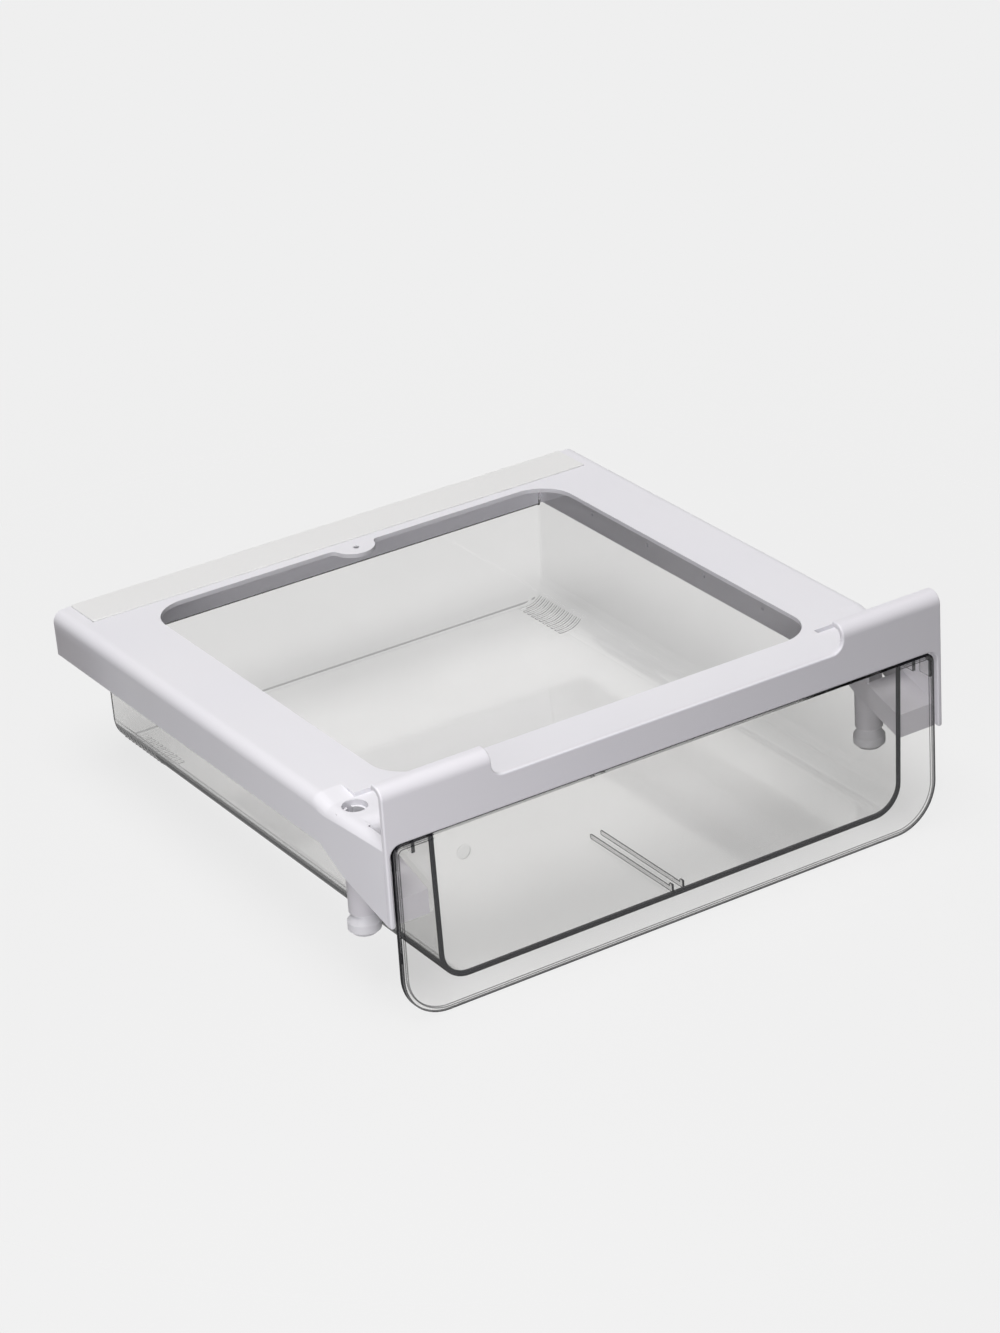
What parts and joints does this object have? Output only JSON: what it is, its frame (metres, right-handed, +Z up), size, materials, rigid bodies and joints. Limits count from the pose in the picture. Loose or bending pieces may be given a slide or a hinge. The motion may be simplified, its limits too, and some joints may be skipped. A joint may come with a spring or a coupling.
{
  "type": "refrigerator drawer organizer",
  "caption": "Clear pull-out drawer under a white shelf frame with an open window, a raised front fascia dipped in the middle, side skirts and short front feet.",
  "frame": {"origin": "middle of the base: X = 0 in the middle of the width, Y = 0 halfway from the front face to the tub's back, Z = 0 at the lower edge of the drawer's front panel", "axes": "+X to the right as seen from the front, +Y towards the back, +Z up; the drawer pulls out along -Y"},
  "size_m": [0.44, 0.436, 0.1704],
  "materials": {
    "frame_white": "fine satin, moulded white ABS",
    "fascia_white": "satin, moulded white ABS",
    "strip_white": "matt off-white trim",
    "foot_white": "satin white",
    "clear_tub": "clear, polished, moulded polystyrene",
    "clear_front": "clear, polished, moulded polystyrene"
  },
  "bodies": {
    "shelf": {"shelf_frame": "frame_white", "front_fascia": "fascia_white", "rear_strip": "strip_white", "foot_left": "foot_white", "foot_right": "foot_white"},
    "drawer": {"drawer_tub": "clear_tub", "drawer_front": "clear_front"}
  },
  "joints": [
    {"name": "drawer_slide", "type": "slide", "parent": "shelf", "child": "drawer", "axis": [0, -1, 0], "range_m": [0, 0.3]}
  ]
}
